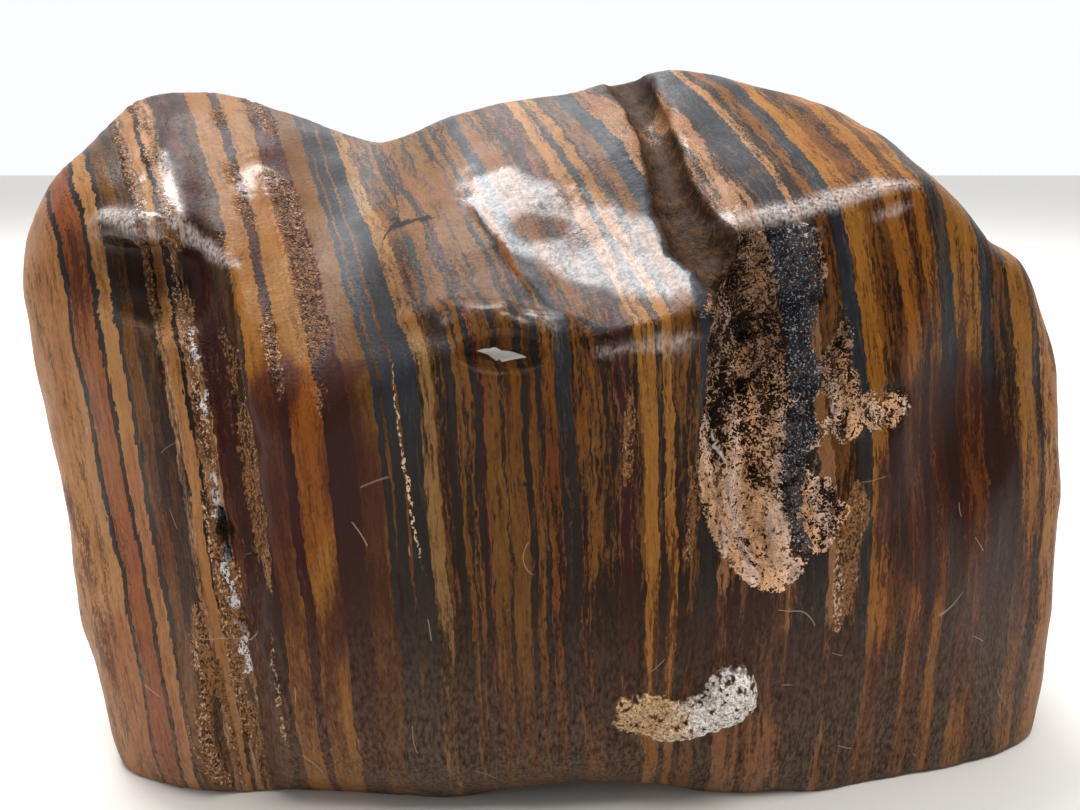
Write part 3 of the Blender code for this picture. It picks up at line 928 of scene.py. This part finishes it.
COOLED_DARK = (0.90, 0.42, 0.10, 1.0)
WARM_TINT = (0.86, 0.70, 0.58, 1.0)
RUST_TINT = (0.84, 0.54, 0.44, 1.0)
MAROON_TINT = (0.42, 0.24, 0.26, 1.0)
MAROON_SKIN = (0.045, 0.015, 0.010, 1.0)
# dry scuffed wax, lightened as painted haze of the bright floor's reflection
DRY_WAX_AND_HAZE = (0.30, 0.19, 0.125, 1.0)
# the colour of the painted edge highlights
EDGE_HIGHLIGHT_PALE = (0.62, 0.53, 0.50, 1.0)
# the pale haze of the painted sheen on the roof
ROOF_SHEEN = (0.60, 0.54, 0.50, 1.0)
GRAIN_DARK = (0.036, 0.020, 0.011, 1.0)
GRAIN_BROWN = (0.150, 0.062, 0.024, 1.0)
GRAIN_OCHRE = (0.260, 0.120, 0.045, 1.0)
GRAIN_PALE = (0.560, 0.390, 0.280, 1.0)
FILLING = (0.620, 0.600, 0.610, 1.0)
CRUMB_TAN = (0.740, 0.420, 0.230, 1.0)
CRUMB_PINK = (0.760, 0.530, 0.410, 1.0)
CRUMB_SHADE = (0.150, 0.072, 0.034, 1.0)
# the painted shade in the gaps between crumbs
CRUMB_GAP_SHADE = (0.016, 0.010, 0.007, 1.0)
STEEL_CRUMB = (0.036, 0.040, 0.052, 1.0)
# painted glints on the steel crumbs
STEEL_GLINT = (0.420, 0.440, 0.480, 1.0)
GROOVE_DARK = (0.022, 0.011, 0.006, 1.0)
GROOVE_BROWN = (0.060, 0.026, 0.010, 1.0)
QUARTZ_STAINED = (0.640, 0.420, 0.230, 1.0)
QUARTZ_CLEAN = (0.860, 0.820, 0.780, 1.0)
QUARTZ_GAP = (0.50, 0.40, 0.30, 1.0)
FIBRE = (0.420, 0.320, 0.240, 1.0)
CRACK_BLACK = (0.010, 0.007, 0.005, 1.0)

# The material's noises: stretch along x (or across the layers), y and z, then scale per millimetre, detail
# and roughness.
TALL = (1.0, 1.0, 0.22)
NOISES = {
    "specks": ((1.0, 1.0, 0.45), 3.0, 1.0, 0.6),
    "fray": (TALL, 0.35, 1.0, 0.6),
    "scuffs": ((1.0, 1.0, 0.4), 2.2, 1.0, 0.7),
    "pale": ((1.0, 1.0, 0.7), 2.9, 1.0, 0.75),
    "brownish": (TALL, 1.1, 1.0, 0.7),
    "filling": (EVEN, 0.5, 1.0, 0.7),
    "runs": ((0.3, 0.3, 1.0), 0.22, 1.0, 0.6),
    "coarse": (EVEN, 1.1, 1.0, 0.75),
    "crumbs": (EVEN, 3.2, 1.0, 0.75),
    "drift": (EVEN, 0.07, 0.0, 0.5),
    "threads": (EVEN, 0.22, 0.0, 0.5),
    "wobble": (EVEN, 0.8, 1.0, 0.5),
    "skin": (EVEN, 2.4, 0.0, 0.5),
}
EDGE_NOISE = (TALL, 2.2, 1.0, 0.6)
EDGE_REACH = 0.40
STREAKS = {
    "broad": ((0.55, 0.05, 0.035), 1.0, 1.0, 0.6),
    "fine": ((2.6, 0.25, 0.14), 1.0, 2.0, 0.65),
    "hair": ((7.0, 0.6, 0.30), 1.0, 1.0, 0.65),
}
STREAK_REACH = {"broad": 0.95, "fine": 1.00, "hair": 0.40, "specks": 0.35}
TONE_REACH = {"fine": 0.45, "hair": 0.40, "specks": 0.25}

# Where things begin and where they are whole: along the layers, along x, y or z, or along a noise or a place.
EDGES = {
    "middle_layers": (-17.0, -8.0), "left_layers": (-48.0, -56.0), "right_layers": (35.0, 42.0),
    "below_roof": (64.0, 46.0), "light": (0.22, 0.78), "rust": (0.3, 0.8), "maroon": (0.25, 0.75),
    "foot": (40.0, 4.0), "scuffs": (0.15, 0.85),
    # where the painted light and sheen on the roof lie
    "sheen_z": (62.0, 76.0), "sheen_y": (-34.0, -18.0), "sheen_left": (-40.0, -28.0), "sheen_right": (60.0, 5.0),
    "sheen_off_middle": (2.0, 16.0),
    "brownish": (0.42, 0.58), "deep_down": (60.0, 20.0), "ochre_grain": (0.50, 0.56),
    "pale_grain": (0.64, 0.74), "high_grain": (54.0, 64.0), "grain": (0.25, 0.65),
    "filled": (0.55, 0.30), "filled_grain": (0.2, 0.6), "filled_runs": (0.44, 0.56),
    "filled_z": (14.0, 22.0), "filled_y": (-15.0, -25.0), "filled_pale": (0.40, 0.52),
    "low_slope": (71.5, 65.0), "lip_shade": (54.0, 64.0), "pink": (0.42, 0.58), "lit_crumb": (0.25, 0.55),
    "crumb_gap_shade": (0.10, 0.24), "steel": (0.3, 0.7), "steel_glint": (0.585, 0.66), "crumble": (0.30, 0.60),
    "groove": (0.3, 0.7), "groove_brown": (0.42, 0.66),
    "clean_x": (10.0, 30.0), "clean": (0.68, 1.08), "quartz_gap": (0.50, 0.34), "quartz": (0.25, 0.75),
    "thread": (0.0034, 0.0014), "thread_places": (0.62, 0.66), "thread_z": (62.0, 40.0),
    "off_eye": (3.0, 6.0), "mark": (-0.06, 0.06), "vein_x": (-9.0, -12.0), "vein_pale": (0.44, 0.56),
    "vein_broad": (0.36, 0.50), "glossy": (0.30, 0.70),
}
SHEEN_MIDDLE_X = 8.0
GRAIN_FRAY = 1.4
LIP_FRAY = 9.0
CRUMBLE_FRAY = 1.6
EYE_X = -4.0
MARK_WOBBLE = 0.5
BUMP_STRENGTH = 0.9
BUMP_DISTANCE = 0.0010
COAT_ROUGHNESS = 0.17
SPECULAR_LEVEL = 0.085


class Stone(Nodes):
    """The stone's material: its places, its noises and the layer coordinate that colours follow."""

    def __init__(self, material, middle):
        super().__init__(material)
        self.shader = self.tree.nodes["Principled BSDF"]
        centred = self.scaled(self.node("TexCoord", {})["Object"], 1.0 / MM)
        where = self.node("VectorMath", {0: centred, 1: Vector(middle)}, operation="ADD")[0]
        self.x, self.y, self.z = self.node("SeparateXYZ", {0: where})
        self.place = {name: self.attribute(name) for name in PLACES}
        self.layer = self.sum(self.place["layer"], self.swing(self.noise_at(self.x, *EDGE_NOISE), EDGE_REACH))
        self.noises = {name: self.noise_at(self.x, *noise) for name, noise in NOISES.items()}
        self.noises |= {name: self.noise_at(self.layer, *noise) for name, noise in STREAKS.items()}
        self.brownish = self.edge("brownish", self.noises["brownish"])

    def noise_at(self, across, stretch, scale, detail, roughness):
        return self.noise(self.stretched(across, self.y, self.z, stretch), scale, detail, roughness)

    def edge(self, name, value):
        return self.between(value, *EDGES[name])

    def swing(self, noise, reach):
        """A noise, or its name, turned into a number that swings that far each way from zero."""
        noise = self.noises[noise] if isinstance(noise, str) else noise
        return self.math("MULTIPLY", self.math("SUBTRACT", noise, 0.5), 2 * reach)

    def swings(self, reaches):
        return self.sum(*(self.swing(name, reach) for name, reach in reaches.items()))

    def away(self, value, middle):
        return self.math("ABSOLUTE", self.sum(value, -middle))

    def tinted(self, share, colour, tint):
        return self.mix(share, colour, self.mix(1.0, colour, tint, "MULTIPLY"))


def layered(s):
    """The layers' own colours, streaked along the layers, darkened by maroon stains and low on the front,
    with painted light on the roof and painted shade in hollows.
    """
    light, amount = layer_ramp(s, s.layer, lambda kind: (*KINDS[kind][0], KINDS[kind][2]))
    dark, _ = layer_ramp(s, s.layer, lambda kind: (*KINDS[kind][1], 1.0))
    streaky = s.sum(
        0.42,
        s.product(s.edge("middle_layers", s.layer), 0.58),
        s.product(s.edge("left_layers", s.layer), 0.45),
    )
    lightness = s.sum(
        s.blend(s.product(s.edge("right_layers", s.layer), 0.45), amount, 0.56),
        s.product(s.swings(STREAK_REACH), streaky),
        # painted shade in the niche and under the pit's ridge, and darker layers low on the front
        s.product(s.place["shade_and_dim"], -0.34),
        # painted light on the roof
        s.product(s.place["lit"], 0.22),
        s.product(s.place["maroon"], -0.36),
    )
    dark = s.tinted(s.product(s.edge("below_roof", s.z), 0.7), dark, COOLED_DARK)
    colour = s.mix(s.edge("light", lightness), dark, light)
    tone_share = s.sum(0.35, s.product(streaky, 0.65))
    return s.scaled(colour, s.sum(1.0, s.product(s.swings(TONE_REACH), tone_share)))


def stained(s, colour):
    """Slow changes of hue, stains, dry scuffed wax low down with painted haze, painted light and sheen on the
    roof and painted highlights along edges.
    """
    colour = s.tinted(s.product(s.place["warm"], 0.8), colour, WARM_TINT)
    rusty = s.product(s.edge("rust", s.sum(s.place["rust"], s.fray)), 0.60)
    colour = s.tinted(rusty, colour, RUST_TINT)
    red = s.edge("maroon", s.sum(s.place["maroon"], s.fray, s.swing("fine", 0.5)))
    reddened = s.mix(0.5, s.mix(1.0, colour, MAROON_TINT, "MULTIPLY"), MAROON_SKIN)
    colour = s.mix(s.product(red, 0.80), colour, reddened)
    # Low down, dry scuffed wax and painted haze standing in for the bright floor's reflection.
    colour = s.mix(s.product(s.scuffed, 0.42), colour, DRY_WAX_AND_HAZE)
    # Painted light and sheen on the roof: its colours lightened and a pale haze mixed in.
    roof_sheen = s.product(
        s.edge("sheen_z", s.z), s.edge("sheen_y", s.y), s.edge("sheen_left", s.x), s.edge("sheen_right", s.x),
        s.edge("sheen_off_middle", s.away(s.x, SHEEN_MIDDLE_X)),
    )
    colour = s.scaled(colour, s.sum(1.0, s.product(roof_sheen, 0.36)))
    colour = s.mix(s.product(roof_sheen, 0.035), colour, ROOF_SHEEN)
    # Painted highlights along the edges.
    worn = s.product(s.place["worn"], s.sum(0.42, s.swing("specks", 0.8)))
    return s.mix(worn, colour, EDGE_HIGHLIGHT_PALE)


def grained(s, colour):
    """Grains, pale ones among dark with some brown, and the white filling down the trough."""
    pale = s.noises["pale"]
    deep_down = s.product(s.edge("deep_down", s.z), 0.08)
    grains = s.mix(s.brownish, GRAIN_DARK, GRAIN_BROWN)
    grains = s.mix(s.edge("ochre_grain", s.sum(pale, deep_down)), grains, GRAIN_OCHRE)
    palest = s.sum(pale, s.product(deep_down, 0.5), s.swing("broad", 0.3))
    grains = s.mix(s.edge("pale_grain", palest), grains, GRAIN_PALE)
    here = s.product(s.place["grain"], s.sum(1.0, s.swing("specks", GRAIN_FRAY), s.swing("fine", GRAIN_FRAY)))
    cover = s.sum(0.92, s.product(s.edge("high_grain", s.z), -0.22))
    colour = s.mix(s.product(s.edge("grain", here), cover), colour, grains)
    off_filling = s.away(s.sum(s.place["layer"], s.swing("filling", 1.4)), FILLED_LAYER)
    filled = s.product(
        s.edge("filled", off_filling), s.edge("filled_grain", s.place["grain"]),
        s.edge("filled_runs", s.noises["runs"]), s.edge("filled_z", s.z), s.edge("filled_y", s.y),
    )
    return s.mix(s.product(filled, s.edge("filled_pale", pale)), colour, FILLING)


def crumbled(s, colour):
    """The crumbly hollow: crumbs painted lit and shaded by their relief and slope, painted black shade in the
    gaps between them, painted shade under the lip, and streaks of steel with painted glints.
    """
    low_slope = s.edge("low_slope", s.sum(s.z, s.product(s.x, SLOPE_TILT)))
    sharpness = s.sum(2.2, s.product(low_slope, -0.9))
    # How lit each crumb is painted: lighter where its relief stands high and on the low slope, darker in the
    # painted shade places.
    lit = s.sum(
        s.product(s.place["relief"], 0.30),
        s.swing("coarse", 1.7),
        s.product(s.fray, 0.9),
        s.product(s.place["shade_and_dim"], -0.45),
        s.product(s.swing("crumbs", 1.0), sharpness),
        s.product(low_slope, 0.50),
        0.38,
    )
    tone = s.sum(0.92, s.product(s.fray, 0.7), s.swing(s.brownish, 0.15))
    crumb = s.scaled(s.mix(s.edge("pink", s.noises["broad"]), CRUMB_TAN, CRUMB_PINK), tone)
    # Painted shade under the lip.
    lip_shade = s.edge("lip_shade", s.sum(s.z, s.swing("coarse", LIP_FRAY)))
    crumb = s.mix(s.product(lip_shade, 0.70), crumb, CRUMB_SHADE)
    crumb = s.mix(s.edge("lit_crumb", lit), CRUMB_SHADE, crumb)
    # Painted black shade in the gaps between crumbs.
    crumb = s.mix(s.edge("crumb_gap_shade", lit), CRUMB_GAP_SHADE, crumb)
    in_steel = s.edge("steel", s.sum(s.place["steel"], s.swing("coarse", 1.2)))
    # Painted glints scattered over the steel crumbs.
    steel = s.mix(s.edge("steel_glint", s.noises["crumbs"]), STEEL_CRUMB, STEEL_GLINT)
    crumb = s.mix(s.product(in_steel, 0.92), crumb, steel)
    frayed = s.sum(1.0, s.swing("crumbs", CRUMBLE_FRAY), s.swing("coarse", CRUMBLE_FRAY))
    return s.mix(s.edge("crumble", s.product(s.place["crumble"], frayed)), colour, crumb)


def crusted(s, colour):
    """The groove painted dark and mottled brown, and the crust of quartz, stained at its left end."""
    # The groove is painted dark, mottled with brown.
    dirt = s.mix(s.edge("groove_brown", s.noises["coarse"]), GROOVE_DARK, GROOVE_BROWN)
    colour = s.mix(s.product(s.dirty, 0.90), colour, dirt)
    clean = s.edge("clean", s.sum(s.noises["coarse"], s.edge("clean_x", s.x)))
    crystal = s.mix(clean, QUARTZ_STAINED, QUARTZ_CLEAN)
    crystal = s.tinted(s.edge("quartz_gap", s.noises["crumbs"]), crystal, QUARTZ_GAP)
    crystal = s.scaled(crystal, s.sum(1.0, s.swing("pale", 0.8)))
    return s.mix(s.crust, colour, crystal)


def mark_cover(s, name, wobble):
    """1 along the marks of that name, which are as wide as their paths say."""
    off = s.math("ABSOLUTE", s.sum(s.attribute(name), wobble))
    return s.edge("mark", s.math("SUBTRACT", s.attribute(name + "_width"), off))


def marked(s, colour):
    """Fine fibres on the wax, the eye's painted glint, the pale vein and the rootlet; then cracks."""
    thread = s.product(
        s.edge("thread", s.away(s.noises["drift"], 0.5)), s.edge("thread_places", s.noises["threads"]),
        s.edge("thread_z", s.z),
    )
    colour = s.mix(s.product(thread, 0.50), colour, FIBRE)
    wobble = s.swing("wobble", MARK_WOBBLE)
    # the pale vein and rootlet, and the eye's painted glint
    pale_and_glint_mark = mark_cover(s, "pale_and_glint_mark", s.product(wobble, s.edge("off_eye", s.away(s.x, EYE_X))))
    in_vein = s.edge("vein_x", s.x)
    broken = s.product(s.edge("vein_pale", s.noises["pale"]), s.edge("vein_broad", s.noises["broad"]))
    pale_colour = s.mix(in_vein, QUARTZ_CLEAN, GRAIN_PALE)
    colour = s.mix(s.product(pale_and_glint_mark, s.blend(in_vein, 0.85, broken)), colour, pale_colour)
    dark_mark = s.math("MAXIMUM", mark_cover(s, "dark_mark", wobble), s.place["slot"])
    return s.mix(s.product(dark_mark, 0.94), colour, CRACK_BLACK)


def ironstone_material(middle):
    material = bpy.data.materials.new("ironstone_fine")
    s = Stone(material, middle)
    s.fray = s.swing("fray", 0.9)
    s.scuffed = s.product(s.edge("foot", s.z), s.edge("scuffs", s.noises["scuffs"]))
    s.dirty = s.edge("groove", s.sum(s.place["groove"], s.swing("specks", 0.8)))
    s.crust = s.edge("quartz", s.product(s.place["quartz"], s.sum(1.1, s.swing("coarse", 2.4))))
    colour = layered(s)
    for change in (stained, grained, crumbled, crusted, marked):
        colour = change(s, colour)
    s.put(s.shader.inputs["Base Color"], colour)

    # The wax is satin over the block, glossy on its polished places and dull where it is rough.
    s.put(s.shader.inputs["Roughness"], s.sum(
        0.42,
        s.swing("coarse", 0.14),
        s.product(s.place["polish"], -0.16),
        s.product(s.sum(s.place["crumble"], s.crust, s.dirty), 0.25),
        s.product(s.scuffed, 0.10),
    ))
    rough_place = s.math("MAXIMUM", s.place["crumble"], s.place["quartz"])
    rough_place = s.math("MAXIMUM", rough_place, s.product(s.place["grain"], 0.5))
    bumps = s.sum(s.product(s.noises["crumbs"], rough_place), s.product(s.noises["skin"], 0.035))
    bump = {"Height": bumps, "Strength": BUMP_STRENGTH, "Distance": BUMP_DISTANCE}
    s.put(s.shader.inputs["Normal"], s.node("Bump", bump)[0])
    gloss = s.edge("glossy", s.sum(s.noises["coarse"], s.swing("scuffs", 0.5)))
    gloss = s.sum(0.22, s.product(gloss, 0.26))
    s.put(s.shader.inputs["Coat Weight"], s.product(s.place["polish"], gloss))
    s.shader.inputs["Coat Roughness"].default_value = COAT_ROUGHNESS
    s.shader.inputs["Specular IOR Level"].default_value = SPECULAR_LEVEL
    return material


# ---------------------------------------------------------------- the piece

def build_stone():
    mesh, middle = stone_mesh()
    stone = bpy.data.objects.new("ironstone_fine", mesh)
    bpy.context.scene.collection.objects.link(stone)
    mesh.materials.append(ironstone_material(middle))
    stone.modifiers.new("halve_quads", "TRIANGULATE")
    thin = stone.modifiers.new("thin", "DECIMATE")
    thin.ratio = min(1.0, TRIANGLES / (2 * len(mesh.polygons)))
    bpy.context.view_layer.update()
    final = bpy.data.meshes.new_from_object(stone.evaluated_get(bpy.context.evaluated_depsgraph_get()))
    stone.modifiers.clear()
    stone.data = final
    bpy.data.meshes.remove(mesh)
    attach(stone, "root")
    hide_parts(NODE)
    return middle


# ---------------------------------------------------------------- floor, light, camera

FOCAL_PIXELS = 830.0
IMAGE_WIDTH = 1080
SENSOR_WIDTH = 36.0
CLIP_START = 0.005
PITCH_DOWN = 17.0
CAMERA_PLACE = np.array([0.0, -128.0, 84.0])   # in the form's millimetres
SKY_DIRECTION = (-0.35, 0.80, 0.45)
SKY_FRONT = 0.08
SKY_BACK = 1.20
SKY_SEEN = 1.0
SKY_FALL = (-0.45, 0.65)   # where the sky is dimmest and brightest, along its direction
SKY_COLOUR = (0.97, 0.98, 1.0, 1.0)
# Each lamp: its place, what it points at, its size, power and tint.
LAMPS = {
    "window": ((-0.15, 0.25, 0.78), (0.0, 0.0, 0.07), (0.36, 0.34), 6.8, (0.97, 0.98, 1.0)),
    "side_pane": ((-0.36, 0.25, 0.78), (0.0, 0.0, 0.07), (0.12, 0.12), 0.8, (1.0, 1.0, 1.0)),
    "right_pane": ((0.42, -0.05, 0.78), (0.0, 0.0, 0.07), (0.12, 0.12), 0.7, (1.0, 1.0, 1.0)),
    "back_pane": ((-0.05, 0.70, 0.72), (0.0, 0.0, 0.07), (0.26, 0.20), 1.0, (1.0, 1.0, 1.0)),
    "ceiling": ((0.06, -0.22, 0.70), (0.0, 0.0, 0.04), (0.26, 0.16), 2.0, (1.0, 0.97, 0.93)),
    "low_fill": ((-0.20, -0.45, 0.07), (0.0, 0.0, 0.02), (0.50, 0.12), 0.30, (1.0, 0.96, 0.92)),
}
FLOOR_HALF_SIZE = 3.0
FLOOR_COLOUR = (0.80, 0.78, 0.74, 1.0)
FLOOR_ROUGHNESS = 0.6


def build_floor():
    mesh = bpy.data.meshes.new("floor")
    bm = bmesh.new()
    bmesh.ops.create_grid(bm, x_segments=1, y_segments=1, size=FLOOR_HALF_SIZE)
    bm.to_mesh(mesh)
    bm.free()
    floor = bpy.data.objects.new("floor", mesh)
    bpy.context.scene.collection.objects.link(floor)
    material = bpy.data.materials.new("pale_floor")
    shader = Nodes(material).tree.nodes["Principled BSDF"]
    shader.inputs["Base Color"].default_value = FLOOR_COLOUR
    shader.inputs["Roughness"].default_value = FLOOR_ROUGHNESS
    mesh.materials.append(material)


def area_light(name, place, target, size, power, tint):
    light = bpy.data.lights.new(name, "AREA")
    light.shape = "RECTANGLE"
    light.size, light.size_y = size
    light.energy = power
    light.color = tint
    lamp = bpy.data.objects.new(name, light)
    bpy.context.scene.collection.objects.link(lamp)
    lamp.location = place
    lamp.rotation_euler = (Vector(target) - Vector(place)).to_track_quat("-Z", "Y").to_euler()


def build_light():
    """A soft bright sky behind and above, dim in front, and lamps that stand for windows and a ceiling."""
    world = bpy.data.worlds.new("soft_light")
    bpy.context.scene.world = world
    n = Nodes(world)
    background = n.tree.nodes["Background"]
    sides = {0: n.node("TexCoord", {})["Generated"], 1: Vector(SKY_DIRECTION).normalized()}
    toward = n.node("VectorMath", sides, operation="DOT_PRODUCT")["Value"]
    fall = n.between(toward, *SKY_FALL, **{"To Min": SKY_FRONT, "To Max": SKY_BACK})
    seen = n.blend(n.node("LightPath", {})["Is Camera Ray"], fall, SKY_SEEN)
    n.put(background.inputs["Strength"], seen)
    n.put(background.inputs["Color"], SKY_COLOUR)
    for name, lamp in LAMPS.items():
        area_light(name, *lamp)
    bpy.context.scene.view_settings.view_transform = "Standard"


def build_camera(middle):
    camera = bpy.data.cameras.new("camera")
    camera.sensor_width = SENSOR_WIDTH
    camera.lens = SENSOR_WIDTH * FOCAL_PIXELS / IMAGE_WIDTH
    camera.clip_start = CLIP_START
    holder = bpy.data.objects.new("camera", camera)
    bpy.context.scene.collection.objects.link(holder)
    holder.location = (CAMERA_PLACE - middle) * MM
    holder.rotation_euler = (math.radians(90 - PITCH_DOWN), 0, 0)
    bpy.context.scene.camera = holder


form_middle = build_stone()
build_floor()
build_light()
build_camera(form_middle)
